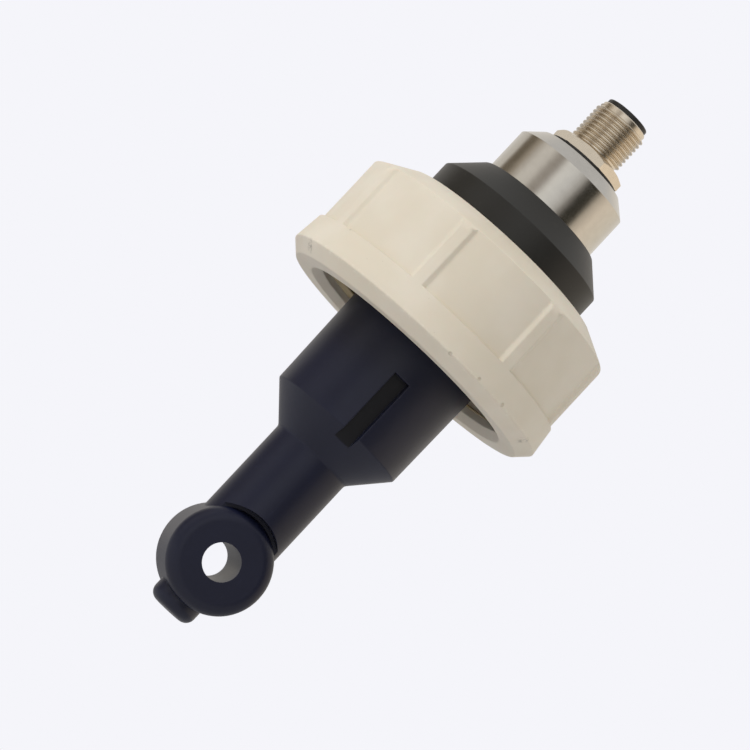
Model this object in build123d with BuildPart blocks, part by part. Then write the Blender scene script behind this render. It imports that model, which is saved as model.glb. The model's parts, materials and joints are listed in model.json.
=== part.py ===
from build123d import *
from math import cos, hypot, radians, sin, tan
import os

os.makedirs("parts", exist_ok=True)

# All lengths are millimetres. The shaft runs along Z with the plug connector up,
# Z = 0 is the sealing face under the body's flange, and the coil ring's hole runs along Y.

# Coil ring at the wetted end
coil_width = 3.35
head_thickness = 16.0
head_drop = 72.2
head_hole_diameter = 8.0
head_edge_radius = 2.8
hole_lip_radius = 1.9
head_skin = 1.3
head_side_skin = 1.8
head_relief = 0.8

# Temperature tip below the coil ring
tip_diameter = 10.4
tip_reach = 2.8
tip_edge_radius = 2.2
tip_bore_diameter = 3.2
tip_wall = 1.2

# Neck, shoulder and drafted shank
neck_diameter = 18.0
neck_top_drop = 43.9
shoulder_drop = 36.6
shank_foot_diameter = 31.0
shank_diameter = 32.0
pilot_length = 5.0
shoulder_edge_radius = 0.5
neck_blend_radius = 1.2
lead_bore_diameter = 9.6

# Key pockets in the front and back of the shank
pocket_width = 3.8
pocket_top_drop = 21.9
pocket_end_drop = 39.6
pocket_depth = 2.7
pocket_edge = 0.2

# Flange and threaded spigot
flange_land = 1.3
flange_thickness = 5.0
flange_edge = 0.5
face_groove_land = 1.2
face_groove_depth = 2.6
face_seal_cord = 3.4
face_seal_side_gap = 0.15
spigot_diameter = 24.6
spigot_thread_step = 0.3
spigot_thread_length = 5.8
seal_groove_depth = 1.2
seal_groove_width = 1.9
seal_gap = 0.02
collar_seal_above_flange = 4.0
head_seal_below_spigot_end = 1.5

# Collar between the flange and the metal head
collar_nose_width = 1.0
collar_band_height = 12.7
collar_cone_height = 4.9
collar_nose_height = 0.8
collar_nose_radius = 0.8
collar_band_edge = 0.3
head_seat_depth = 1.7
slip_gap = 0.1

# Turned metal head
metal_skirt_wall = 1.4
metal_head_above_spigot = 8.6
metal_chamfer_height = 3.05
metal_chamfer_width = 3.3
metal_top_wall = 3.1
metal_edge = 0.15
metal_cavity_wall = 2.1

# Round plug connector
connector_thread_diameter = 12.0
connector_thread_length = 10.1
connector_hex = 15.0
connector_hex_height = 2.2
connector_seal_height = 0.9
connector_seal_diameter = 17.2
connector_seal_edge = 0.36
connector_tail_drop = 5.5
connector_bore_diameter = 10.1
connector_end_chamfer = 0.45
hex_corner_angle = 39.0
hex_chamfer_angle = 30.0
lock_nut_hex = 14.0
lock_nut_height = 2.2
carrier_gap = 0.05
carrier_proud = 1.1
carrier_rim_radius = 0.3
carrier_foot_drop = 0.7
socket_diameter = 8.3
socket_depth = 9.0
key_width = 1.2
key_height = 0.6
carrier_groove_depth = 0.8
carrier_groove_width = 1.0
carrier_seal_drop = 2.5
pin_diameter = 0.8
pin_circle_diameter = 5.5
pin_circle_count = 7
pin_recess = 1.8
pin_hole_gap = 0.02
pin_tip_radius = 0.3

# Board inside the metal head
board_edge_gap = 0.8
board_thickness = 1.2
amplifier_size = (6.4, 3.6, 1.1)
component_inset = 3.0
capacitor_size = (2.0, 1.2, 0.9)
capacitor_count = 3
capacitor_pitch_angle = 32.0

# Coils, shield, sensing element and leads
coil_hub_gap = 0.15
coil_side_gap = 0.1
winding_angle = 330.0
winding_wall = 0.7
winding_edge_radius = 0.6
core_gap = 0.05
shield_thickness = 0.5
shield_gap = 0.1
element_size = (2.2, 1.1, 2.2)
element_foot_gap = 0.1
lead_diameter = 0.7
lead_spread = 0.6
lead_turn_angle = 60.0
lead_bend_radius = 3.0
lead_channel_gap = 0.1
lead_end_gap = 0.05
grommet_length = 4.0
grommet_drop = 0.5
grommet_gap = 0.05

# Union nut
nut_wall = 7.8
nut_rim_flare = 0.7
nut_drop = 16.3
nut_lip_thickness = 6.75
nut_foot_chamfer = 2.6
nut_edge = 0.4
nut_rim_height = 8.7
nut_panel_depth = 0.75
nut_rib_count = 8
nut_rib_foot_width = 3.9
nut_rib_flank_angle = 45.0
nut_rib_foot_radius = 0.7
nut_rib_crest_radius = 0.5
nut_rib_angle = -70.5
nut_shoulder_radius = 3.4
nut_hole_gap = 0.5
nut_hole_edge = 0.6
nut_thread_step = 1.2
nut_mouth_depth = 1.6
nut_flange_gap = 0.5
nut_relief_length = 4.0
nut_lip_gap = 0.05
nut_cut_margin = 1.0

# Reach within which an edge counts as found
pick_tolerance = 0.05

# Radii and heights that follow from the driving dimensions
head_half = head_thickness / 2
head_axis = Axis((0, 0, -head_drop), (0, 1, 0))
hole_radius = head_hole_diameter / 2
cavity_inner = hole_radius + head_skin
winding_inner = cavity_inner + coil_hub_gap
winding_outer = winding_inner + coil_width
cavity_outer = winding_outer + lead_diameter + 2 * lead_channel_gap
head_radius = cavity_outer + head_skin
cavity_middle = (cavity_inner + cavity_outer) / 2
cavity_half = head_half - head_side_skin
tip_end = -(head_drop + head_radius + tip_reach)
lead_bore_radius = lead_bore_diameter / 2
shank_radius = shank_diameter / 2
face_groove_inner = shank_radius + face_groove_land
face_groove_outer = face_groove_inner + face_seal_cord + 2 * face_seal_side_gap
flange_radius = face_groove_outer + flange_land
spigot_radius = spigot_diameter / 2
spigot_thread_radius = spigot_radius - spigot_thread_step
collar_seal_height = flange_thickness + collar_seal_above_flange
collar_band_top = flange_thickness + collar_band_height
collar_top = collar_band_top + collar_cone_height + collar_nose_height
metal_foot = collar_top - head_seat_depth
spigot_end = metal_foot + spigot_thread_length
head_seal_height = spigot_end - head_seal_below_spigot_end
board_top = spigot_end + board_thickness
metal_head_top = spigot_end + metal_head_above_spigot
connector_base = metal_head_top + connector_seal_height
connector_end = connector_base + connector_hex_height + connector_thread_length
connector_tail = metal_head_top - connector_tail_drop
carrier_top = connector_end + carrier_proud


def ring_profile(inner, outer, low, high):
    """A rectangle between two radii and two heights, in the current half-section sketch."""
    with Locations(((inner + outer) / 2, (low + high) / 2)):
        Rectangle(outer - inner, high - low)


def circles_at(builder, height):
    """The circular edges of a part that lie at one height."""
    circles = builder.edges().filter_by(GeomType.CIRCLE)
    return circles.filter_by_position(Axis.Z, height - pick_tolerance, height + pick_tolerance)


def edges_at_radius(edges, radius):
    """The edges whose middle lies at one distance from Z."""
    return edges.filter_by(lambda e: abs(hypot((e @ 0.5).X, (e @ 0.5).Y) - radius) < pick_tolerance)


def seated_cord(inner_wall, outer_wall, height):
    """A round cord squeezed between two walls, as a ring around Z in the current part."""
    with Locations((0, 0, height)):
        Torus((inner_wall + outer_wall) / 2, (outer_wall - inner_wall) / 2 - seal_gap)


def coil_ring(inner, outer, near, far, corner=0, arc=360, mode=Mode.ADD):
    """A ring turned about the coil axis, between two radii and two places along it."""
    with BuildSketch(Plane.XY.offset(-head_drop)) as section:
        with Locations(((inner + outer) / 2, (near + far) / 2)):
            Rectangle(outer - inner, far - near)
        if corner:
            fillet(section.vertices(), corner)
    revolve(section.sketch, axis=head_axis, revolution_arc=arc, mode=mode)


# Navy moulding: flange, shank, neck, coil ring and temperature tip in one piece
with BuildPart() as sensor_body:
    with BuildSketch(Plane.XZ):
        with BuildLine():
            Polyline(
                (0, tip_end),
                (tip_diameter / 2, tip_end),
                (tip_diameter / 2, -head_drop),
                (neck_diameter / 2, -head_drop),
                (neck_diameter / 2, -neck_top_drop),
                (shank_foot_diameter / 2, -shoulder_drop),
                (shank_radius, -pilot_length),
                (shank_radius, 0),
                (flange_radius, 0),
                (flange_radius, flange_thickness),
                (spigot_radius, flange_thickness),
                (spigot_radius, metal_foot - slip_gap),
                (spigot_thread_radius, metal_foot - slip_gap),
                (spigot_thread_radius, spigot_end),
                (0, spigot_end),
                close=True,
            )
        make_face()
    revolve(axis=Axis.Z)
    tip_rim = sensor_body.edges().filter_by(GeomType.CIRCLE).group_by(Axis.Z)[0]
    fillet(tip_rim, tip_edge_radius)
    fillet(circles_at(sensor_body, -neck_top_drop), neck_blend_radius)
    fillet(circles_at(sensor_body, -shoulder_drop), shoulder_edge_radius)
    flange_rims = sensor_body.edges().filter_by(GeomType.CIRCLE).group_by(SortBy.RADIUS)[-1]
    chamfer(flange_rims, flange_edge)

    # The neck ends in a relief around the ring's rounded edges
    relief_floor = head_half - head_edge_radius
    for side in (1, -1):
        with BuildSketch(Plane.XZ.offset(side * relief_floor)):
            with Locations((0, -head_drop)):
                Circle(head_radius + head_relief)
        extrude(amount=side * neck_diameter, mode=Mode.SUBTRACT)
    with BuildSketch(Plane.XZ):
        with Locations((0, -head_drop)):
            Circle(cavity_outer)
    extrude(amount=neck_diameter, both=True, mode=Mode.SUBTRACT)

    # The ring itself, turned about its own hole
    with BuildSketch(Plane.XY.offset(-head_drop)) as ring_section:
        with Locations(((hole_radius + head_radius) / 2, 0)):
            Rectangle(head_radius - hole_radius, head_thickness)
        outer_corners = ring_section.vertices().group_by(Axis.X)[-1]
        inner_corners = ring_section.vertices().group_by(Axis.X)[0]
        fillet(outer_corners, head_edge_radius)
        fillet(inner_corners, hole_lip_radius)
    revolve(axis=head_axis)

    # Chamber for the coils, bore for the leads and a pocket for the sensing element
    with BuildSketch(Plane.XY.offset(-head_drop)):
        with Locations(((cavity_inner + cavity_outer) / 2, 0)):
            Rectangle(cavity_outer - cavity_inner, 2 * cavity_half)
    revolve(axis=head_axis, mode=Mode.SUBTRACT)
    lead_bore_foot = -head_drop + cavity_middle
    with BuildSketch(Plane.XY.offset(lead_bore_foot)):
        Circle(lead_bore_radius)
    extrude(amount=spigot_end - lead_bore_foot, mode=Mode.SUBTRACT)
    tip_floor = tip_end + tip_wall
    with BuildSketch(Plane.XY.offset(tip_floor)):
        Circle(tip_bore_diameter / 2)
    extrude(amount=-head_drop - cavity_middle - tip_floor, mode=Mode.SUBTRACT)

    # Key pockets run out through the shoulder, front and back
    pocket_floor = shank_radius - pocket_depth
    for side in (1, -1):
        with BuildSketch(Plane.XZ.offset(side * pocket_floor)):
            with Locations((0, -(pocket_top_drop + pocket_end_drop) / 2)):
                Rectangle(pocket_width, pocket_end_drop - pocket_top_drop)
        extrude(amount=side * pocket_depth * 2, mode=Mode.SUBTRACT)
    pocket_rims = sensor_body.edges().filter_by(
        lambda e: abs(abs(e.center().X) - pocket_width / 2) < pick_tolerance and e.geom_type != GeomType.LINE
    )
    pocket_heads = circles_at(sensor_body, -pocket_top_drop)
    fillet([*pocket_rims, *pocket_heads], pocket_edge)

    # Grooves for the face seal and the two radial seals
    with BuildSketch(Plane.XZ):
        ring_profile(face_groove_inner, face_groove_outer, 0, face_groove_depth)
        ring_profile(
            spigot_radius - seal_groove_depth,
            spigot_radius,
            collar_seal_height - seal_groove_width / 2,
            collar_seal_height + seal_groove_width / 2,
        )
        ring_profile(
            spigot_thread_radius - seal_groove_depth,
            spigot_thread_radius,
            head_seal_height - seal_groove_width / 2,
            head_seal_height + seal_groove_width / 2,
        )
    revolve(axis=Axis.Z, mode=Mode.SUBTRACT)
sensor_body.part.label = "sensor_body"
export_step(sensor_body.part, "parts/sensor_body.step")

# Cord rings: face seal under the flange, radial seals on the spigot
with BuildPart() as face_seal:
    with Locations((0, 0, face_groove_depth - face_seal_cord / 2 - seal_gap)):
        Torus((face_groove_inner + face_groove_outer) / 2, face_seal_cord / 2)
face_seal.part.label = "face_seal"
export_step(face_seal.part, "parts/face_seal.step")

with BuildPart() as collar_seal:
    seated_cord(spigot_radius - seal_groove_depth, spigot_radius + slip_gap, collar_seal_height)
collar_seal.part.label = "collar_seal"
export_step(collar_seal.part, "parts/collar_seal.step")

with BuildPart() as head_seal:
    seated_cord(spigot_thread_radius - seal_groove_depth, spigot_thread_radius + slip_gap, head_seal_height)
head_seal.part.label = "head_seal"
export_step(head_seal.part, "parts/head_seal.step")

# Black collar: a band, a cone and a rounded nose around the metal head
metal_radius = spigot_thread_radius + slip_gap + metal_skirt_wall
collar_nose_reach = metal_radius + slip_gap + collar_nose_width
collar_radius = collar_nose_reach + collar_cone_height + collar_nose_height
with BuildPart() as collar:
    with BuildSketch(Plane.XZ) as collar_section:
        with BuildLine():
            Polyline(
                (spigot_radius + slip_gap, flange_thickness),
                (collar_radius, flange_thickness),
                (collar_radius, collar_band_top),
                (collar_nose_reach, collar_top),
                (metal_radius + slip_gap, collar_top),
                (metal_radius + slip_gap, metal_foot),
                (spigot_radius + slip_gap, metal_foot),
                close=True,
            )
        make_face()
        top_corners = collar_section.vertices().group_by(Axis.Y)[-1]
        fillet(top_corners.sort_by(Axis.X)[-1], collar_nose_radius)
        band_corners = collar_section.vertices().group_by(Axis.X)[-1]
        fillet(band_corners, collar_band_edge)
    revolve(axis=Axis.Z)
collar.part.label = "collar"
export_step(collar.part, "parts/collar.step")

# Turned metal head, screwed down on the spigot with the collar under its foot
metal_cavity_top = metal_head_top - metal_top_wall
metal_cavity_radius = metal_radius - metal_cavity_wall
tail_radius = connector_thread_diameter / 2
with BuildPart() as metal_head:
    with BuildSketch(Plane.XZ) as metal_section:
        with BuildLine():
            Polyline(
                (spigot_thread_radius + slip_gap, metal_foot),
                (metal_radius, metal_foot),
                (metal_radius, metal_head_top - metal_chamfer_height),
                (metal_radius - metal_chamfer_width, metal_head_top),
                (tail_radius, metal_head_top),
                (tail_radius, metal_cavity_top),
                (metal_cavity_radius, metal_cavity_top),
                (metal_cavity_radius, spigot_end + slip_gap),
                (spigot_thread_radius + slip_gap, spigot_end + slip_gap),
                close=True,
            )
        make_face()
        shoulder_corners = metal_section.vertices().group_by(Axis.X)[-1]
        rim_corner = metal_section.vertices().group_by(Axis.Y)[-1].sort_by(Axis.X)[-1]
        fillet([*shoulder_corners, rim_corner], metal_edge)
    revolve(axis=Axis.Z)
metal_head.part.label = "metal_head"
export_step(metal_head.part, "parts/metal_head.step")

# Seal washer, threaded shell and lock nut of the plug connector
with BuildPart() as connector_seal:
    with BuildSketch(Plane.XY.offset(metal_head_top)):
        Circle(connector_seal_diameter / 2)
        Circle(tail_radius + slip_gap, mode=Mode.SUBTRACT)
    extrude(amount=connector_seal_height)
    washer_rims = connector_seal.edges().filter_by(GeomType.CIRCLE).group_by(SortBy.RADIUS)[-1]
    fillet(washer_rims, connector_seal_edge)
connector_seal.part.label = "connector_seal"
export_step(connector_seal.part, "parts/connector_seal.step")

connector_bore_radius = connector_bore_diameter / 2
hex_top = connector_base + connector_hex_height
hex_cut_drop = connector_hex / 2 * tan(radians(hex_chamfer_angle))
with BuildPart() as connector_shell:
    with BuildSketch(Plane.XY.offset(connector_base)):
        RegularPolygon(connector_hex / 2, 6, major_radius=False, rotation=hex_corner_angle)
    extrude(amount=connector_hex_height)
    with BuildSketch(Plane.XZ):
        with BuildLine():
            Polyline(
                (connector_hex / 2, hex_top),
                (connector_hex, hex_top),
                (connector_hex, hex_top - hex_cut_drop),
                close=True,
            )
        make_face()
    revolve(axis=Axis.Z, mode=Mode.SUBTRACT)
    with BuildSketch(Plane.XY.offset(connector_tail)):
        Circle(tail_radius - slip_gap / 2)
    extrude(amount=connector_base - connector_tail)
    with BuildSketch(Plane.XY.offset(hex_top)):
        Circle(tail_radius)
    extrude(amount=connector_thread_length)
    thread_rim = connector_shell.edges().filter_by(GeomType.CIRCLE).group_by(Axis.Z)[-1]
    chamfer(thread_rim, connector_end_chamfer)
    with BuildSketch(Plane.XY.offset(connector_tail)):
        Circle(connector_bore_radius)
    extrude(amount=connector_end - connector_tail, mode=Mode.SUBTRACT)
connector_shell.part.label = "connector_shell"
export_step(connector_shell.part, "parts/connector_shell.step")

with BuildPart() as lock_nut:
    with BuildSketch(Plane.XY.offset(metal_cavity_top - lock_nut_height)):
        RegularPolygon(lock_nut_hex / 2, 6, major_radius=False)
        Circle(tail_radius, mode=Mode.SUBTRACT)
    extrude(amount=lock_nut_height)
lock_nut.part.label = "lock_nut"
export_step(lock_nut.part, "parts/lock_nut.step")

# Black contact carrier with a keyed socket, its seal and the contact pins
carrier_radius = connector_bore_radius - carrier_gap
carrier_foot = connector_tail - carrier_foot_drop
carrier_seal_height = connector_base - carrier_seal_drop
socket_floor = carrier_top - socket_depth
pin_radius = pin_diameter / 2
with BuildPart() as contact_carrier:
    with BuildSketch(Plane.XY.offset(carrier_foot)):
        Circle(carrier_radius)
    extrude(amount=carrier_top - carrier_foot)
    rim = contact_carrier.edges().filter_by(GeomType.CIRCLE).group_by(Axis.Z)[-1]
    fillet(rim, carrier_rim_radius)
    with BuildSketch(Plane.XY.offset(socket_floor)):
        Circle(socket_diameter / 2)
        with Locations((0, -socket_diameter / 2)):
            Rectangle(key_width, 2 * key_height, mode=Mode.SUBTRACT)
    extrude(amount=socket_depth, mode=Mode.SUBTRACT)
    with BuildSketch(Plane.XY.offset(carrier_foot)):
        Circle(pin_radius + pin_hole_gap)
        with PolarLocations(pin_circle_diameter / 2, pin_circle_count):
            Circle(pin_radius + pin_hole_gap)
    extrude(amount=socket_floor - carrier_foot, mode=Mode.SUBTRACT)
    with BuildSketch(Plane.XZ):
        ring_profile(
            carrier_radius - carrier_groove_depth,
            carrier_radius,
            carrier_seal_height - carrier_groove_width / 2,
            carrier_seal_height + carrier_groove_width / 2,
        )
    revolve(axis=Axis.Z, mode=Mode.SUBTRACT)
contact_carrier.part.label = "contact_carrier"
export_step(contact_carrier.part, "parts/contact_carrier.step")

with BuildPart() as carrier_seal:
    seated_cord(carrier_radius - carrier_groove_depth, connector_bore_radius, carrier_seal_height)
carrier_seal.part.label = "carrier_seal"
export_step(carrier_seal.part, "parts/carrier_seal.step")

with BuildPart() as contact_pins:
    with BuildSketch(Plane.XY.offset(spigot_end)):
        Circle(pin_radius)
        with PolarLocations(pin_circle_diameter / 2, pin_circle_count):
            Circle(pin_radius)
    extrude(amount=carrier_top - pin_recess - spigot_end)
    pin_tips = contact_pins.edges().filter_by(GeomType.CIRCLE).group_by(Axis.Z)[-1]
    fillet(pin_tips, pin_tip_radius)
contact_pins.part.label = "contact_pins"
export_step(contact_pins.part, "parts/contact_pins.step")

# Round board on the end of the spigot, and the components on it
board_radius = metal_cavity_radius - board_edge_gap
component_offset = board_radius - component_inset
with BuildPart() as circuit_board:
    with BuildSketch(Plane.XY.offset(spigot_end)):
        Circle(board_radius)
        Circle(pin_radius + pin_hole_gap, mode=Mode.SUBTRACT)
        with PolarLocations(pin_circle_diameter / 2, pin_circle_count):
            Circle(pin_radius + pin_hole_gap, mode=Mode.SUBTRACT)
    extrude(amount=board_thickness)
circuit_board.part.label = "circuit_board"
export_step(circuit_board.part, "parts/circuit_board.step")

with BuildPart() as board_components:
    with Locations((0, component_offset, board_top)):
        Box(*amplifier_size, align=(Align.CENTER, Align.CENTER, Align.MIN))
    capacitor_sweep = capacitor_pitch_angle * (capacitor_count - 1)
    with Locations((0, 0, board_top)):
        with PolarLocations(
            component_offset,
            capacitor_count,
            start_angle=-90 - capacitor_sweep / 2,
            angular_range=capacitor_sweep,
            endpoint=True,
        ):
            Box(*capacitor_size, align=(Align.CENTER, Align.CENTER, Align.MIN))
board_components.part.label = "board_components"
export_step(board_components.part, "parts/board_components.step")

# Drive and pickup coils: a ferrite ring inside a winding that leaves one gap
winding_near = shield_thickness / 2 + shield_gap
winding_far = cavity_half - coil_side_gap
core_inset = winding_wall + core_gap
with BuildPart() as drive_winding:
    coil_ring(winding_inner, winding_outer, -winding_far, -winding_near, winding_edge_radius, winding_angle)
    coil_ring(
        winding_inner + winding_wall,
        winding_outer - winding_wall,
        -winding_far + winding_wall,
        -winding_near - winding_wall,
        mode=Mode.SUBTRACT,
    )
drive_winding.part.label = "drive_winding"
export_step(drive_winding.part, "parts/drive_winding.step")

with BuildPart() as drive_core:
    coil_ring(
        winding_inner + core_inset,
        winding_outer - core_inset,
        -winding_far + core_inset,
        -winding_near - core_inset,
    )
drive_core.part.label = "drive_core"
export_step(drive_core.part, "parts/drive_core.step")

with BuildPart() as pickup_winding:
    mirror(drive_winding.part, about=Plane.XZ)
pickup_winding.part.label = "pickup_winding"
export_step(pickup_winding.part, "parts/pickup_winding.step")

with BuildPart() as pickup_core:
    mirror(drive_core.part, about=Plane.XZ)
pickup_core.part.label = "pickup_core"
export_step(pickup_core.part, "parts/pickup_core.step")

with BuildPart() as coil_shield:
    coil_ring(winding_inner, winding_outer, -shield_thickness / 2, shield_thickness / 2)
coil_shield.part.label = "coil_shield"
export_step(coil_shield.part, "parts/coil_shield.step")

# Sensing element in the tip and the twin leads up to the board
element_foot = tip_end + tip_wall + element_foot_gap
with BuildPart() as temperature_element:
    with Locations((0, 0, element_foot)):
        Box(*element_size, align=(Align.CENTER, Align.CENTER, Align.MIN))
temperature_element.part.label = "temperature_element"
export_step(temperature_element.part, "parts/temperature_element.step")

lead_orbit = winding_outer + lead_channel_gap + lead_diameter / 2
bend_centre_reach = lead_orbit + lead_bend_radius
bend_x = bend_centre_reach * cos(radians(lead_turn_angle))
bend_z = -head_drop + bend_centre_reach * sin(radians(lead_turn_angle))
riser_x = bend_x - lead_bend_radius
lead_end = spigot_end - lead_end_gap
with BuildPart() as temperature_leads:
    with BuildLine(Plane.XZ):
        CenterArc((0, -head_drop), lead_orbit, -90, 90 + lead_turn_angle)
        CenterArc((bend_x, bend_z), lead_bend_radius, 180 + lead_turn_angle, -lead_turn_angle)
        Line((riser_x, bend_z), (riser_x, lead_end))
    with BuildSketch(Plane((0, 0, -head_drop - lead_orbit), x_dir=(0, 1, 0), z_dir=(1, 0, 0))):
        SlotCenterToCenter(lead_spread, lead_diameter)
    sweep()
temperature_leads.part.label = "temperature_leads"
export_step(temperature_leads.part, "parts/temperature_leads.step")

winding_middle = (winding_near + winding_far) / 2
lead_foot = -head_drop + winding_outer + lead_end_gap
with BuildPart() as drive_leads:
    with BuildSketch(Plane.XY.offset(lead_foot)):
        with Locations((0, -winding_middle)):
            SlotCenterToCenter(lead_spread, lead_diameter)
    extrude(amount=lead_end - lead_foot)
drive_leads.part.label = "drive_leads"
export_step(drive_leads.part, "parts/drive_leads.step")

with BuildPart() as pickup_leads:
    mirror(drive_leads.part, about=Plane.XZ)
pickup_leads.part.label = "pickup_leads"
export_step(pickup_leads.part, "parts/pickup_leads.step")

grommet_top = spigot_end - grommet_drop
lead_slot = lead_diameter + 2 * grommet_gap
with BuildPart() as lead_grommet:
    with BuildSketch(Plane.XY.offset(grommet_top - grommet_length)):
        Circle(lead_bore_radius - grommet_gap)
        with Locations((0, -winding_middle), (0, winding_middle)):
            SlotCenterToCenter(lead_spread, lead_slot, mode=Mode.SUBTRACT)
        with Locations((riser_x, 0)):
            SlotCenterToCenter(lead_spread, lead_slot, rotation=90, mode=Mode.SUBTRACT)
    extrude(amount=grommet_length)
lead_grommet.part.label = "lead_grommet"
export_step(lead_grommet.part, "parts/lead_grommet.step")

# Cream union nut: tapered rim, ribs between sunk panels, round shoulder and an inner lip
nut_foot = -nut_drop
nut_relief_radius = flange_radius + nut_flange_gap
nut_thread_radius = nut_relief_radius + nut_thread_step
nut_rib_radius = nut_thread_radius + nut_wall
nut_rim_radius = nut_rib_radius + nut_rim_flare
nut_rim_top = nut_foot + nut_rim_height
nut_panel_radius = nut_rib_radius - nut_panel_depth
nut_lip_foot = flange_thickness + nut_lip_gap
nut_top = nut_lip_foot + nut_lip_thickness
nut_hole_radius = collar_radius + nut_hole_gap
with BuildPart() as union_nut:
    with BuildSketch(Plane.XZ) as nut_section:
        with BuildLine():
            Polyline(
                (nut_thread_radius + nut_mouth_depth, nut_foot),
                (nut_rim_radius - nut_foot_chamfer, nut_foot),
                (nut_rim_radius, nut_foot + nut_foot_chamfer),
                (nut_rib_radius, nut_rim_top),
                (nut_rib_radius, nut_top),
                (nut_hole_radius, nut_top),
                (nut_hole_radius, nut_lip_foot),
                (nut_relief_radius, nut_lip_foot),
                (nut_relief_radius, nut_lip_foot - nut_relief_length),
                (nut_thread_radius, nut_lip_foot - nut_relief_length),
                (nut_thread_radius, nut_foot + nut_mouth_depth),
                close=True,
            )
        make_face()
        top_corners = nut_section.vertices().group_by(Axis.Y)[-1]
        fillet(top_corners.sort_by(Axis.X)[-1], nut_shoulder_radius)
        fillet(top_corners.sort_by(Axis.X)[0], nut_hole_edge)
        foot_corners = nut_section.vertices().group_by(Axis.Y)[0]
        rim_corner = nut_section.vertices().sort_by(Axis.X)[-1]
        fillet([*foot_corners, rim_corner], nut_edge)
    revolve(axis=Axis.Z)

    # Sunk panels between the ribs; their floors run out through the round shoulder
    rib_rise = 2 * (nut_panel_depth + nut_cut_margin)
    rib_cut_foot = nut_rib_foot_width + rib_rise / tan(radians(nut_rib_flank_angle))
    with BuildSketch(Plane.XY.offset(nut_rim_top)):
        Circle(nut_rib_radius + nut_cut_margin / 2)
        Circle(nut_panel_radius, mode=Mode.SUBTRACT)
        with PolarLocations(nut_panel_radius, nut_rib_count, start_angle=nut_rib_angle):
            Trapezoid(rib_cut_foot, rib_rise, nut_rib_flank_angle, rotation=-90, mode=Mode.SUBTRACT)
    extrude(amount=nut_top - nut_rim_top, mode=Mode.SUBTRACT)
    upright = union_nut.edges().filter_by(Axis.Z).filter_by_position(Axis.Z, nut_rim_top, nut_top)
    fillet(edges_at_radius(upright, nut_panel_radius), nut_rib_foot_radius)
    fillet(edges_at_radius(upright, nut_rib_radius), nut_rib_crest_radius)
union_nut.part.label = "union_nut"
export_step(union_nut.part, "parts/union_nut.step")
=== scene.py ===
import bpy
import json
import math
from functools import reduce
from mathutils import Matrix, Vector


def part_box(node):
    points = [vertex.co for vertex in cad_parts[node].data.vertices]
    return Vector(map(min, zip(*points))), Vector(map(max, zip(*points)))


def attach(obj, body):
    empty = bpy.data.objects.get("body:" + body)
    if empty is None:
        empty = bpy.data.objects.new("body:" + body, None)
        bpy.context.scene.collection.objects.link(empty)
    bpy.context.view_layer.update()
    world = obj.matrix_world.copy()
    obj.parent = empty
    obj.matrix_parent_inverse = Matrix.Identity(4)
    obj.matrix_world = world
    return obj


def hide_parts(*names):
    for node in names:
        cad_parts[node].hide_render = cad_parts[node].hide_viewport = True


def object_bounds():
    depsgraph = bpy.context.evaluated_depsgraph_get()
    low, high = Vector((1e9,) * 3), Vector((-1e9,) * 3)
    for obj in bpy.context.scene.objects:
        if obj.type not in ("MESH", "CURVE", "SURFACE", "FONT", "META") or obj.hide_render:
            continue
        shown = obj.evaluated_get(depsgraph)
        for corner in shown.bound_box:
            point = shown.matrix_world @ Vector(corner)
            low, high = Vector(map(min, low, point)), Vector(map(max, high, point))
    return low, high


MM = 0.001
ROUND = 2 * math.pi

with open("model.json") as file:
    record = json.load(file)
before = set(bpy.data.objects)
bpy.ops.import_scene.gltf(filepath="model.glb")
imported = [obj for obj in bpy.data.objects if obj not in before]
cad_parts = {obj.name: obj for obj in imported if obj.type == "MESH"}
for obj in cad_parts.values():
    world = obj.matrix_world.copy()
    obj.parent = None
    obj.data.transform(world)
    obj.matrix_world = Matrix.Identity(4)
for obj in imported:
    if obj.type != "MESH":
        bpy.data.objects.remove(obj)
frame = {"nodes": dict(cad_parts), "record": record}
cad_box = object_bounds()
bpy.ops.object.select_all(action="DESELECT")
bpy.context.scene.view_settings.view_transform = "Standard"

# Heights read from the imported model
nut_foot, nut_top = (corner.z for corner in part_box("union_nut"))
shell_tail, shell_end = (corner.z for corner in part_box("connector_shell"))
hex_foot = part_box("connector_seal")[1].z
coil_centre = sum(corner.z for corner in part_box("coil_shield")) / 2

# Mesh fineness
TURN_STEPS = 160
CROWN_STEPS = 10
WELD = 0.0005 * MM
SMOOTH_ANGLE = 28.0

# Plug connector. Crest, root, tail and bore are radii.
PLUG_PITCH = 1.0 * MM
PLUG_CREST = 5.98 * MM
PLUG_CREST_HALF_WIDTH = 0.09 * MM
PLUG_THREAD_STEPS = 72
PLUG_ROOT = 5.39 * MM
PLUG_TAIL = 5.94 * MM
PLUG_TAIL_CHAMFER = 0.3 * MM
PLUG_TAIL_OVERLAP = 0.5 * MM
PLUG_BORE = 5.05 * MM
PLUG_NECK_START = 0.25 * MM
PLUG_NECK_END = 0.7 * MM
PLUG_THREAD_START = 0.75 * MM
PLUG_THREAD_MARGINS = 1.45 * MM
PLUG_END_CHAMFER_WIDTH = 0.12 * MM
PLUG_END_CHAMFER_HEIGHT = 0.18 * MM
HEX_ACROSS_FLATS = 15.0 * MM
HEX_HEIGHT = 2.2 * MM
HEX_CORNER_ANGLE = math.radians(39.0)
HEX_CHAMFER_SLOPE = math.tan(math.radians(30.0))
HEX_EDGE = 0.12 * MM

# Pipe thread inside the union nut. Crest and root are radii.
NUT_PITCH = 25.4 * MM / 11
NUT_CREST = 22.45 * MM
NUT_CREST_HALF_WIDTH = 0.16 * MM
NUT_THREAD_STEPS = 96
NUT_ROOT = 23.92 * MM
NUT_THREAD_START = 1.9 * MM
NUT_THREAD_LENGTH = 14.6 * MM

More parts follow.
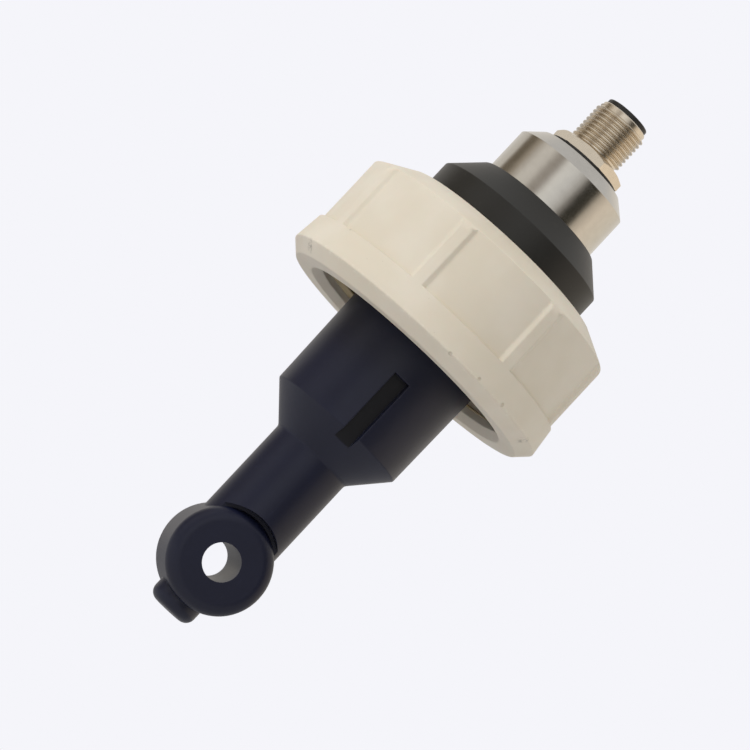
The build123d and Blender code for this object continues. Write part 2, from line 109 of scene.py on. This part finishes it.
# Form of both threads: how deep the ridge's foot is sunk, how much of the pitch it fills, how the ends
# run out and how the crest's edges are rounded
THREAD_SINK = 0.04 * MM
THREAD_FOOT_SHARE = 0.97
THREAD_RUNOUT_TURNS = 0.4
THREAD_END_SHARE = 0.02
THREAD_ROUND_SHARE = 0.10
THREAD_EDGE_ANGLE = 40.0

# Crown of the union nut: a cone from its flat top, rounded into the ribs
CROWN_RADIUS = 24.2 * MM
CROWN_SLOPE = math.radians(29.0)
CROWN_ROUND = 2.5 * MM
RIB_RADIUS = 31.7 * MM

# How far the crown's cutter reaches past the nut, below the rounding and clear of the ribs
CROWN_CUT_CLEAR = 2.0 * MM
CROWN_CUT_DROP = 0.4 * MM
CROWN_CUT_GAP = 0.05 * MM

# Worn spots on the union nut: angle in degrees, then radius, height and size in millimetres
RIM_CHIPS = (
    (-151.8, 31.9, -7.7, 0.45),
    (-89.5, 32.3, -13.8, 0.55),
    (-75.5, 32.3, -13.2, 0.5),
    (-61.2, 32.3, -13.3, 0.6),
)
SMUDGES = ((-166.0, 32.0, -15.2, 2.2), (-37.0, 32.0, -14.6, 1.7))

# The rubbed, paler line along the nut's rim, in millimetres: its height, where it fades above and below
# that, and the radii between which it begins
RIM_EDGE_HEIGHT = -13.7
RIM_EDGE_FADE = (0.15, 0.8)
RIM_EDGE_RADII = (31.6, 32.0)

# Where the painted shade in the shank's key pockets fades, in millimetres
POCKET_SIDE = (1.7, 1.95)
POCKET_FACE = (13.6, 15.2)
POCKET_FOOT = (-39.1, -38.7)
POCKET_HEAD = (-22.0, -21.8)

COIL_TURNS = 150.0

# Camera: below the object, turned so that the shaft runs up to the right
PHOTO_WIDTH = 750
FOCAL_PIXELS = 4740
SENSOR_WIDTH = 36
CAMERA_DISTANCE = 0.95
CAMERA_TURN = math.radians(10.5)
CAMERA_DIP = math.radians(6.3)
SHAFT_ANGLE = math.radians(46.97)
AIM_HEIGHT = -23.3 * MM
AIM_SIDE = 1.7 * MM
NEAREST_VIEW = 0.01

# Studio
FLOOR_SIZE = 6.0
FLOOR_DROP = 0.30
AMBIENT = 0.54
AMBIENT_COLOUR = (1.0, 0.975, 0.94, 1)
CEILING_COLOUR = (0.66, 0.65, 0.64, 1)

# How steeply a mirrored direction points up or down where the cards fade into the ceiling
CEILING_RISE = (0.55, 0.85)

# What bright metal mirrors: degrees from the camera round to the object's right in the view, and the
# light there
STUDIO_CARDS = (
    (-180, (0.80, 0.77, 0.73)),
    (-124, (0.70, 0.66, 0.60)),
    (-116, (0.19, 0.15, 0.11)),
    (-102, (0.17, 0.14, 0.10)),
    (-90, (0.40, 0.34, 0.27)),
    (-72, (0.76, 0.72, 0.66)),
    (-54, (0.78, 0.74, 0.68)),
    (-42, (0.42, 0.38, 0.34)),
    (-31, (0.36, 0.32, 0.28)),
    (-19, (0.92, 0.90, 0.86)),
    (2, (0.80, 0.79, 0.77)),
    (16, (0.58, 0.56, 0.53)),
    (26, (0.22, 0.20, 0.18)),
    (33, (0.03, 0.027, 0.02)),
    (52, (0.04, 0.036, 0.026)),
    (62, (0.62, 0.54, 0.44)),
    (82, (0.92, 0.80, 0.66)),
    (120, (0.86, 0.78, 0.66)),
    (179, (0.80, 0.77, 0.73)),
)


# Shader maths

class Level:
    """A value in a shader. Python's operators add the Math nodes."""

    def __init__(self, nodes, socket):
        self.nodes = nodes
        self.socket = socket

    def _math(self, operation, *terms):
        return self.nodes.math(operation, self, *terms)

    def __add__(self, other):
        return self._math("ADD", other)

    def __sub__(self, other):
        return self._math("SUBTRACT", other)

    def __mul__(self, other):
        return self._math("MULTIPLY", other)

    def __truediv__(self, other):
        return self._math("DIVIDE", other)

    def __rsub__(self, other):
        return self.nodes.math("SUBTRACT", other, self)

    __radd__ = __add__
    __rmul__ = __mul__

    def size(self):
        return self._math("ABSOLUTE")

    def root(self):
        return self._math("SQRT")

    def fraction(self):
        return self._math("FRACT")

    def most(self, other):
        return self._math("MAXIMUM", other)

    def rise(self, low, high):
        """0 below low, 1 above high and a soft step between."""
        return self.nodes.node(
            "ShaderNodeMapRange",
            {"interpolation_type": "SMOOTHSTEP"},
            {"Value": self, "From Min": low, "From Max": high},
        )

    def fall(self, low, high):
        """1 below low and 0 above high."""
        return 1 - self.rise(low, high)


def place_stops(elements, stops):
    """The colours along a colour ramp, each at its share of the way."""
    while len(elements) < len(stops):
        elements.new(0.5)
    for element, (share, colour) in zip(elements, stops):
        element.position = share
        element.color = colour


class Nodes:
    """The node tree of a material or world."""

    def __init__(self, owner):
        owner.use_nodes = True
        self.tree = owner.node_tree

    def add(self, kind, settings=None, inputs=None):
        """Any node: its settings first, then a value or a link for each input."""
        made = self.tree.nodes.new(kind)
        for key, value in (settings or {}).items():
            if key == "stops":
                place_stops(made.color_ramp.elements, value)
            else:
                setattr(made, key, value)
        for key, value in (inputs or {}).items():
            self.feed(made.inputs[key], value)
        return made

    def node(self, kind, settings=None, inputs=None, output=0):
        """A node's output as a Level."""
        return Level(self, self.add(kind, settings, inputs).outputs[output])

    def feed(self, socket, value):
        if isinstance(value, Level):
            self.tree.links.new(value.socket, socket)
        else:
            socket.default_value = value

    def math(self, operation, *terms):
        return self.node("ShaderNodeMath", {"operation": operation}, dict(enumerate(terms)))

    def parts(self, vector):
        split = self.add("ShaderNodeSeparateXYZ", None, {0: vector})
        return [Level(self, socket) for socket in split.outputs]

    def ray(self, kind):
        """1 for one kind of ray, such as Is Camera Ray, and 0 for the others."""
        return self.node("ShaderNodeLightPath", output=kind)

    def mix(self, share, first, second):
        """Between two colours."""
        inputs = {0: share, 6: first, 7: second}
        return self.node("ShaderNodeMix", {"data_type": "RGBA"}, inputs, output=2)

    def choose(self, share, first, second):
        """Between two shaders."""
        return self.node("ShaderNodeMixShader", None, {0: share, 1: first, 2: second})


class Finish(Nodes):
    """One material of the object, built around a Principled shader."""

    def __init__(self, name):
        self.material = bpy.data.materials.new(name)
        super().__init__(self.material)
        self.shader = self.tree.nodes["Principled BSDF"]

    def place(self):
        """The point on the piece, in millimetres."""
        spot = self.node("ShaderNodeTexCoord", output="Object")
        return self.node("ShaderNodeVectorMath", {"operation": "SCALE"}, {0: spot, "Scale": 1 / MM})

    def from_axis(self, place):
        """Distance from the shaft's axis, and height."""
        x, y, z = self.parts(place)
        return (x * x + y * y).root(), z

    def stretched(self, vector, x, y, z):
        return self.node("ShaderNodeVectorMath", {"operation": "MULTIPLY"}, {0: vector, 1: (x, y, z)})

    def noise(self, vector, per_mm, detail, roughness=0.5):
        inputs = {"Vector": vector, "Scale": per_mm, "Detail": detail, "Roughness": roughness}
        return self.node("ShaderNodeTexNoise", None, inputs)

    def rings(self, place, per_mm, detail, roughness=0.5):
        """Fine marks of turning, around the shaft's axis."""
        radius, height = self.from_axis(place)
        section = self.node("ShaderNodeCombineXYZ", None, {"X": radius, "Z": height})
        return self.noise(section, per_mm, detail, roughness)

    def specks(self, vector, per_mm, radius):
        """1 inside small round specks spread at random, 0 elsewhere."""
        inputs = {"Vector": vector, "Scale": per_mm, "Randomness": 1.0}
        distance = self.node("ShaderNodeTexVoronoi", {"feature": "F1"}, inputs)
        return distance.fall(radius * 0.5, radius)

    def spots(self, place, marks):
        """1 in the middle of each mark on a turned piece, fading to 0 at its size from there."""
        shares = []
        for angle, radius, height, size in marks:
            turn = math.radians(angle)
            centre = (radius * math.cos(turn), radius * math.sin(turn), height)
            inputs = {0: place, 1: centre}
            distance = self.node("ShaderNodeVectorMath", {"operation": "DISTANCE"}, inputs, output=1)
            shares.append(distance.fall(size * 0.35, size))
        return reduce(Level.most, shares)

    def rounded(self, radius):
        """A normal that rounds sharp edges off."""
        return self.node("ShaderNodeBevel", {"samples": 6}, {"Radius": radius})

    def bump(self, height, distance, strength, normal=None):
        inputs = {"Strength": strength, "Distance": distance, "Height": height}
        if normal is not None:
            inputs["Normal"] = normal
        return self.node("ShaderNodeBump", None, inputs)

    def set(self, **sockets):
        for key, value in sockets.items():
            self.feed(self.shader.inputs[key.replace("_", " ")], value)
        return self.material


def rgb(red, green, blue):
    """A colour as it shows on screen, 0 to 255, turned to the linear light that shaders use."""
    linear = []
    for channel in (red, green, blue):
        share = channel / 255
        linear.append(share / 12.92 if share <= 0.04045 else ((share + 0.055) / 1.055) ** 2.4)
    return (*linear, 1.0)


def dimmed(shade, share):
    """A darker tone of a colour."""
    return rgb(*(channel * share for channel in shade))


# Materials

def navy_moulding():
    finish = Finish("navy_moulding")
    place = finish.place()
    cloud = finish.noise(place, 0.12, 4.0)
    grain = finish.noise(place, 3.2, 4.0, 0.6)
    scuff = finish.noise(finish.stretched(place, 1.0, 1.0, 0.12), 1.6, 5.0, 0.7).rise(0.60, 0.78)
    tint = finish.mix(cloud, rgb(17, 20, 39), rgb(22, 26, 48))
    colour = finish.mix(scuff * 0.3, tint, rgb(48, 52, 76))
    x, y, z = finish.parts(place)
    # Painted shade: the key pockets' floors and walls are darkened to near black
    across = x.size().fall(*POCKET_SIDE) * y.size().fall(*POCKET_FACE)
    pocket_painted_shade = across * z.rise(*POCKET_FOOT) * z.fall(*POCKET_HEAD)
    colour = finish.mix(pocket_painted_shade * 0.85, colour, rgb(5, 5, 9))
    height = grain * 0.6 + finish.noise(place, 0.5, 2.0) * 0.6
    return finish.set(
        Base_Color=colour,
        Roughness=0.34 + grain * 0.10 + scuff * 0.12,
        Normal=finish.bump(height, 0.02 * MM, 0.8, finish.rounded(0.18 * MM)),
        IOR=1.42,
    )


def cream_moulding(name, lit, deep, worn):
    finish = Finish(name)
    place = finish.place()
    cloud = finish.noise(place, 0.07, 3.0).rise(0.35, 0.65)
    grain = finish.noise(place, 2.4, 5.0, 0.6)
    colour = finish.mix(cloud, rgb(*deep), rgb(*lit))
    height = grain * 0.5 + finish.noise(place, 0.35, 2.0)
    dust = finish.specks(place, 0.28, 0.035)
    colour = finish.mix(dust * 0.25, colour, rgb(150, 132, 104))
    if worn:
        radius, z = finish.from_axis(place)
        smear = finish.noise(place, 0.9, 4.0, 0.65).rise(0.42, 0.62)
        dirt = finish.spots(place, SMUDGES) * smear
        colour = finish.mix(dirt * 0.6, colour, rgb(128, 120, 104))
        chips = finish.spots(place, RIM_CHIPS)
        colour = finish.mix(chips * 0.45, colour, rgb(176, 164, 140))
        fraying = finish.noise(finish.stretched(place, 1.0, 1.0, 2.0), 0.8, 4.0, 0.7).rise(0.48, 0.7)
        along_rim = (z - RIM_EDGE_HEIGHT).size().fall(*RIM_EDGE_FADE)
        rim_edge = along_rim * radius.rise(*RIM_EDGE_RADII) * fraying
        colour = finish.mix(rim_edge * 0.4, colour, rgb(248, 242, 228))
        height = height - chips * 8.0 - rim_edge * 1.5
    return finish.set(
        Base_Color=colour,
        Roughness=0.44 + grain * 0.12,
        Normal=finish.bump(height, 0.02 * MM, 0.9, finish.rounded(0.42 * MM)),
        IOR=1.45,
        Subsurface_Weight=0.06,
        Subsurface_Scale=0.6 * MM,
    )


def black_turned():
    finish = Finish("black_turned")
    place = finish.place()
    rings = finish.rings(place, 7.0, 2.0)
    grain = finish.noise(place, 2.5, 4.0, 0.6)
    scuff = finish.noise(place, 0.5, 5.0, 0.7).rise(0.58, 0.75)
    colour = finish.mix(grain, rgb(27, 27, 25), rgb(36, 35, 33))
    colour = finish.mix(scuff * 0.35, colour, rgb(60, 58, 54))
    return finish.set(
        Base_Color=colour,
        Roughness=0.38 + grain * 0.10 + scuff * 0.08,
        Normal=finish.bump(rings + grain * 0.4, 0.012 * MM, 0.8, finish.rounded(0.12 * MM)),
        IOR=1.48,
    )


def turned_steel():
    finish = Finish("turned_steel")
    place = finish.place()
    rings = finish.rings(place, 16.0, 3.0, 0.7)
    streak = finish.noise(finish.stretched(place, 0.35, 0.35, 6.0), 1.0, 3.0)
    haze = finish.noise(place, 0.6, 3.0)
    return finish.set(
        Base_Color=finish.mix(haze, rgb(199, 196, 190), rgb(212, 209, 203)),
        Metallic=1.0,
        Roughness=0.13 + streak * 0.07 + haze * 0.05,
        Normal=finish.bump(rings, 0.0022 * MM, 0.8),
    )


def nickel_plating():
    finish = Finish("nickel_plating")
    place = finish.place()
    grain = finish.noise(place, 5.0, 4.0, 0.6)
    haze = finish.noise(place, 0.8, 3.0)
    shade = (232, 222, 206)
    return finish.set(
        Base_Color=finish.mix(haze, dimmed(shade, 0.93), rgb(*shade)),
        Metallic=1.0,
        Roughness=0.22 + grain * 0.10,
        Normal=finish.bump(grain, 0.004 * MM, 0.8),
    )


def plain_finish(name, shade, roughness, metallic=0.0):
    """A hidden or small piece: one colour with a fine grain in shade, gloss and height."""
    finish = Finish(name)
    grain = finish.noise(finish.place(), 3.0, 4.0, 0.6)
    return finish.set(
        Base_Color=finish.mix(grain, dimmed(shade, 0.85), rgb(*shade)),
        Metallic=metallic,
        Roughness=roughness - 0.05 + grain * 0.10,
        Normal=finish.bump(grain, 0.01 * MM, 0.6),
    )


def wound_copper():
    """Turns of wire that lie radially around a coil's ring."""
    finish = Finish("wound_copper")
    place = finish.place()
    x, y, z = finish.parts(place)
    angle = finish.math("ARCTAN2", z - coil_centre / MM, x)
    turns = finish.math("SINE", angle * COIL_TURNS)
    grain = finish.noise(place, 2.0, 3.0)
    return finish.set(
        Base_Color=finish.mix(turns.rise(-1.0, 1.0), rgb(120, 62, 32), rgb(205, 122, 72)),
        Metallic=1.0,
        Roughness=0.30 + grain * 0.12,
        Normal=finish.bump(turns, 0.06 * MM, 0.8),
    )


finishes = {
    "navy_plastic": navy_moulding(),
    "cream_plastic": cream_moulding("cream_moulding", (230, 222, 206), (225, 216, 198), worn=True),
    "black_plastic": black_turned(),
    "turned_steel": turned_steel(),
    "nickel_plate": nickel_plating(),
    "seal_rubber": plain_finish("seal_rubber", (34, 33, 32), 0.55),
    "gold_contact": plain_finish("gold_contact", (226, 188, 112), 0.25, 1.0),
    "green_board": plain_finish("green_board", (28, 92, 56), 0.40),
    "component_black": plain_finish("component_black", (40, 40, 42), 0.45),
    "copper_winding": wound_copper(),
    "ferrite": plain_finish("ferrite", (72, 72, 76), 0.60),
    "lead_jacket": plain_finish("lead_jacket", (180, 180, 174), 0.50),
}
# The thread inside the union nut gets a darker, browner cream than the nut's outside
thread_cream = cream_moulding("cream_thread", (196, 178, 138), (172, 150, 108), worn=False)


# Modelling helpers

def only(piece):
    """Makes a piece the one that is selected and active."""
    bpy.ops.object.select_all(action="DESELECT")
    piece.select_set(True)
    bpy.context.view_layer.objects.active = piece


def put(piece, body, slot, material, *replaced):
    """Gives a finished piece its place, material and body. The slot is not used."""
    only(piece)
    bpy.ops.object.transform_apply(location=True, rotation=True, scale=True)
    piece.data.materials.clear()
    piece.data.materials.append(material)
    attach(piece, body)
    if replaced:
        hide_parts(*replaced)
    piece.select_set(False)


def added(name, corners, edges, faces):
    """A new piece from its corners and its edges or faces."""
    mesh = bpy.data.meshes.new(name)
    mesh.from_pydata(corners, edges, faces)
    piece = bpy.data.objects.new(name, mesh)
    bpy.context.scene.collection.objects.link(piece)
    return piece


def edit(piece, *steps):
    """Runs each step on all of a piece's mesh."""
    only(piece)
    bpy.ops.object.mode_set(mode="EDIT")
    for step in steps:
        bpy.ops.mesh.select_all(action="SELECT")
        step()
    bpy.ops.object.mode_set(mode="OBJECT")


def weld():
    bpy.ops.mesh.remove_doubles(threshold=WELD)


def face_outward():
    bpy.ops.mesh.normals_make_consistent(inside=False)


def spin_round():
    bpy.ops.mesh.spin(steps=TURN_STEPS, angle=ROUND, center=(0, 0, 0), axis=(0, 0, 1))


def apply_all(piece):
    only(piece)
    for modifier in list(piece.modifiers):
        bpy.ops.object.modifier_apply(modifier=modifier.name)


def combine(piece, tool, operation):
    """Unites, cuts or intersects a piece with a tool, which is used up."""
    modifier = piece.modifiers.new(operation, "BOOLEAN")
    modifier.operation = operation
    modifier.solver = "EXACT"
    modifier.object = tool
    apply_all(piece)
    bpy.data.objects.remove(tool)


def smooth(piece, angle=SMOOTH_ANGLE):
    """Smooth shading that keeps edges over an angle, weighted so flat faces stay flat."""
    only(piece)
    bpy.ops.object.shade_smooth_by_angle(angle=math.radians(angle))
    weighted = piece.modifiers.new("flat_faces", "WEIGHTED_NORMAL")
    weighted.keep_sharp = True
    apply_all(piece)
    piece.select_set(False)


def refined(node, name):
    """A copy of a node with its loose triangles merged and its curves shaded smooth."""
    piece = frame["nodes"][node].copy()
    piece.data = frame["nodes"][node].data.copy()
    piece.name = piece.data.name = name
    for key in [key for key in piece.keys() if key.startswith("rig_")]:
        del piece[key]
    piece.parent = None
    bpy.context.scene.collection.objects.link(piece)
    edit(piece, bpy.ops.mesh.customdata_custom_splitnormals_clear, weld)
    smooth(piece)
    return piece


def turned(name, profile):
    """A closed solid of revolution: a closed outline of (radius, height) spun around Z."""
    count = len(profile)
    outline = [(radius, 0, height) for radius, height in profile]
    piece = added(name, outline, [(i, (i + 1) % count) for i in range(count)], [])
    edit(piece, spin_round, weld, face_outward)
    return piece


def ridge(name, start, length, pitch, crest, root, half_width, steps):
    """A helical thread ridge that runs out at both ends. Its foot is sunk a little into its wall."""
    turns = length / pitch
    foot = root - math.copysign(THREAD_SINK, crest - root)
    half_foot = pitch / 2 * THREAD_FOOT_SHARE
    section = ((foot, -half_foot), (crest, -half_width), (crest, half_width), (foot, half_foot))
    corners = []
    count = round(turns * steps)
    for i in range(count + 1):
        share = i / count
        angle = share * turns * ROUND
        height = start + share * length
        from_end = min(share, 1 - share) * turns
        runout = min(1.0, from_end / THREAD_RUNOUT_TURNS)
        for radius, along in section:
            reach = root + (radius - root) * (runout if radius == crest else 1)
            level = height + along * max(runout, THREAD_END_SHARE)
            corners.append((reach * math.cos(angle), reach * math.sin(angle), level))
    ring = len(section)
    faces = []
    for i in range(count):
        for k in range(ring):
            here = i * ring + k
            beside = i * ring + (k + 1) % ring
            faces.append((here, beside, beside + ring, here + ring))
    faces.append(tuple(range(ring)))
    faces.append(tuple(reversed(range(count * ring, (count + 1) * ring))))
    piece = added(name, corners, [], faces)
    edit(piece, face_outward)
    bevel = piece.modifiers.new("crest_round", "BEVEL")
    bevel.width = abs(crest - root) * THREAD_ROUND_SHARE
    bevel.segments = 2
    bevel.limit_method = "ANGLE"
    bevel.angle_limit = math.radians(THREAD_EDGE_ANGLE)
    apply_all(piece)
    smooth(piece, THREAD_EDGE_ANGLE)
    return piece


# Pieces

def crown_cutter():
    """The ring of stock outside the union nut's conical crown."""
    sweep = math.pi / 2 - CROWN_SLOPE
    tangent = CROWN_ROUND * math.tan(sweep / 2)
    corner_height = nut_top - (RIB_RADIUS - CROWN_RADIUS) * math.tan(CROWN_SLOPE)
    centre_radius = RIB_RADIUS - CROWN_ROUND
    centre_height = corner_height - tangent
    arc = []
    for i in range(CROWN_STEPS + 1):
        angle = sweep * i / CROWN_STEPS
        radius = centre_radius + CROWN_ROUND * math.cos(angle)
        arc.append((radius, centre_height + CROWN_ROUND * math.sin(angle)))
    lift = CROWN_CUT_CLEAR * math.tan(CROWN_SLOPE)
    outside = RIB_RADIUS + CROWN_CUT_CLEAR
    foot = centre_height - CROWN_CUT_DROP
    outline = [
        (CROWN_RADIUS - CROWN_CUT_CLEAR, nut_top + lift),
        (outside, nut_top + lift),
        (outside, foot),
        (RIB_RADIUS + CROWN_CUT_GAP, foot),
    ]
    return turned("crown_cutter", outline + arc)


def hexagon():
    """The plug's hexagon, with its top corners chamfered round."""
    hex_top = hex_foot + HEX_HEIGHT
    bpy.ops.mesh.primitive_cylinder_add(
        vertices=6,
        radius=HEX_ACROSS_FLATS / 2 / math.cos(math.pi / 6),
        depth=HEX_HEIGHT,
        location=(0, 0, hex_foot + HEX_HEIGHT / 2),
    )
    piece = bpy.context.object
    piece.rotation_euler.z = HEX_CORNER_ANGLE - math.pi / 2
    drop = HEX_ACROSS_FLATS / 2 * HEX_CHAMFER_SLOPE
    lift = HEX_EDGE * HEX_CHAMFER_SLOPE
    envelope = turned(
        "hex_envelope",
        (
            (0, hex_foot - HEX_HEIGHT),
            (HEX_ACROSS_FLATS, hex_foot - HEX_HEIGHT),
            (HEX_ACROSS_FLATS, hex_top - drop),
            (HEX_ACROSS_FLATS / 2 - HEX_EDGE, hex_top + lift),
            (0, hex_top + lift),
        ),
    )
    combine(piece, envelope, "INTERSECT")
    return piece


def plug_shell():
    """The plug's tail, hexagon and sleeve in one piece, bored through."""
    hex_top = hex_foot + HEX_HEIGHT
    piece = hexagon()
    sleeve = turned(
        "plug_sleeve",
        (
            (PLUG_BORE, shell_tail),
            (PLUG_TAIL - PLUG_TAIL_CHAMFER, shell_tail),
            (PLUG_TAIL, shell_tail + PLUG_TAIL_CHAMFER),
            (PLUG_TAIL, hex_foot + PLUG_TAIL_OVERLAP),
            (PLUG_TAIL, hex_top + PLUG_NECK_START),
            (PLUG_ROOT, hex_top + PLUG_NECK_END),
            (PLUG_ROOT, shell_end - PLUG_END_CHAMFER_HEIGHT),
            (PLUG_ROOT - PLUG_END_CHAMFER_WIDTH, shell_end),
            (PLUG_BORE, shell_end),
        ),
    )
    combine(piece, sleeve, "UNION")
    below = shell_tail - MM
    above = shell_end + MM
    bore = turned("plug_bore", ((0, below), (PLUG_BORE, below), (PLUG_BORE, above), (0, above)))
    combine(piece, bore, "DIFFERENCE")
    piece.name = "plug_shell"
    only(piece)
    bpy.ops.object.transform_apply(location=True, rotation=True, scale=True)
    edit(piece, weld)
    smooth(piece)
    return piece


slots = {entry["node"]: entry["material_slot"] for entry in frame["record"]["subparts"]}
for node in ("sensor_body", "union_nut", "collar", "metal_head", "connector_seal", "contact_carrier"):
    slot = slots[node]
    body = "sensor"
    piece = refined(node, node + "_finished")
    if node == "union_nut":
        body = "nut"
        combine(piece, crown_cutter(), "DIFFERENCE")
        smooth(piece)
    put(piece, body, slot, finishes[slot], node)
for node, part in frame["nodes"].items():
    part.data.materials.clear()
    part.data.materials.append(finishes[slots[node]])

put(plug_shell(), "sensor", "nickel_plate", finishes["nickel_plate"], "connector_shell")
plug_thread = ridge(
    "plug_thread",
    start=hex_foot + HEX_HEIGHT + PLUG_THREAD_START,
    length=shell_end - hex_foot - HEX_HEIGHT - PLUG_THREAD_MARGINS,
    pitch=PLUG_PITCH,
    crest=PLUG_CREST,
    root=PLUG_ROOT,
    half_width=PLUG_CREST_HALF_WIDTH,
    steps=PLUG_THREAD_STEPS,
)
put(plug_thread, "sensor", "nickel_plate", finishes["nickel_plate"])

nut_thread = ridge(
    "nut_thread",
    start=nut_foot + NUT_THREAD_START + NUT_PITCH / 2,
    length=NUT_THREAD_LENGTH,
    pitch=NUT_PITCH,
    crest=NUT_CREST,
    root=NUT_ROOT,
    half_width=NUT_CREST_HALF_WIDTH,
    steps=NUT_THREAD_STEPS,
)
put(nut_thread, "nut", "cream_plastic", thread_cream)


# Camera and studio

BACKDROP = rgb(245, 245, 250)
FLOOR_COLOUR = rgb(225, 225, 228)


def camera_axes():
    """Unit vectors from the object to the camera, to the object's right and up in the view."""
    back = Vector(
        (
            -math.sin(CAMERA_TURN) * math.cos(CAMERA_DIP),
            -math.cos(CAMERA_TURN) * math.cos(CAMERA_DIP),
            -math.sin(CAMERA_DIP),
        )
    )
    across = Vector((0, 0, 1)).cross(back).normalized()
    return back, across, back.cross(across)


def add_camera():
    back, across, upright = camera_axes()
    right = upright * math.cos(SHAFT_ANGLE) + across * math.sin(SHAFT_ANGLE)
    up = upright * math.sin(SHAFT_ANGLE) - across * math.cos(SHAFT_ANGLE)
    aim = Vector((0, 0, AIM_HEIGHT)) - across * AIM_SIDE
    place = Matrix((right, up, back)).transposed().to_4x4()
    place.translation = aim + back * CAMERA_DISTANCE
    data = bpy.data.cameras.new("photo_camera")
    data.sensor_width = SENSOR_WIDTH
    data.lens = FOCAL_PIXELS / PHOTO_WIDTH * SENSOR_WIDTH
    data.clip_start = NEAREST_VIEW
    camera = bpy.data.objects.new("photo_camera", data)
    camera.matrix_world = place
    bpy.context.scene.collection.objects.link(camera)
    bpy.context.scene.camera = camera


def add_stage():
    """A wide floor below the object. Rays from under it pass through."""
    bpy.ops.mesh.primitive_plane_add(size=FLOOR_SIZE, location=(0, 0, cad_box[0].z - FLOOR_DROP))
    floor = bpy.context.object
    floor.name = "studio_floor"
    material = bpy.data.materials.new("studio_floor")
    nodes = Nodes(material)
    nodes.tree.nodes.clear()
    matt = nodes.node("ShaderNodeBsdfDiffuse", None, {"Color": FLOOR_COLOUR})
    pale = nodes.node("ShaderNodeEmission", None, {"Color": BACKDROP})
    clear = nodes.node("ShaderNodeBsdfTransparent")
    above = nodes.choose(nodes.ray("Is Camera Ray"), matt, pale)
    beneath = nodes.node("ShaderNodeNewGeometry", output="Backfacing")
    nodes.add("ShaderNodeOutputMaterial", None, {"Surface": nodes.choose(beneath, above, clear)})
    floor.data.materials.append(material)


def studio_light(nodes):
    """The colour that bright metal mirrors in each direction."""
    x, y, z = nodes.parts(nodes.node("ShaderNodeTexCoord", output="Generated"))
    back = camera_axes()[0]
    angle = nodes.math("ARCTAN2", y, x) - math.atan2(back.y, back.x)
    share = (angle / ROUND + 1.5).fraction()
    stops = [(degrees / 360 + 0.5, (*colour, 1)) for degrees, colour in STUDIO_CARDS]
    cards = nodes.node("ShaderNodeValToRGB", {"stops": stops}, {0: share})
    return nodes.mix(z.size().rise(*CEILING_RISE), cards, CEILING_COLOUR)


def add_world():
    """The pale backdrop that the camera sees, the studio that metal mirrors and an even light."""
    world = bpy.data.worlds.new("studio")
    bpy.context.scene.world = world
    nodes = Nodes(world)
    nodes.tree.nodes.clear()

    def light(colour, strength):
        return nodes.node("ShaderNodeBackground", None, {"Color": colour, "Strength": strength})

    even = light(AMBIENT_COLOUR, AMBIENT)
    lit = nodes.choose(nodes.ray("Is Glossy Ray"), even, light(studio_light(nodes), 1.0))
    seen = nodes.ray("Is Camera Ray").most(nodes.ray("Is Transmission Ray"))
    nodes.add("ShaderNodeOutputWorld", None, {"Surface": nodes.choose(seen, lit, light(BACKDROP, 1.0))})


def add_lamp(name, left, up, toward, size, power, colour):
    """A square soft lamp, in metres to the object's left in the view, above it and toward the camera."""
    back, across, upright = camera_axes()
    data = bpy.data.lights.new(name, "AREA")
    data.size = size
    data.energy = power
    data.color = colour
    lamp = bpy.data.objects.new(name, data)
    lamp.location = back * toward - across * left + upright * up
    lamp.rotation_euler = lamp.location.to_track_quat("Z", "Y").to_euler()
    lamp.visible_glossy = False
    bpy.context.scene.collection.objects.link(lamp)


add_camera()
add_stage()
add_world()
add_lamp("key_lamp", left=1.0, up=0.75, toward=0.55, size=0.7, power=9.5, colour=(1.0, 0.99, 0.975))
add_lamp("fill_lamp", left=-0.9, up=0.15, toward=0.8, size=0.8, power=1.2, colour=(1.0, 0.97, 0.92))
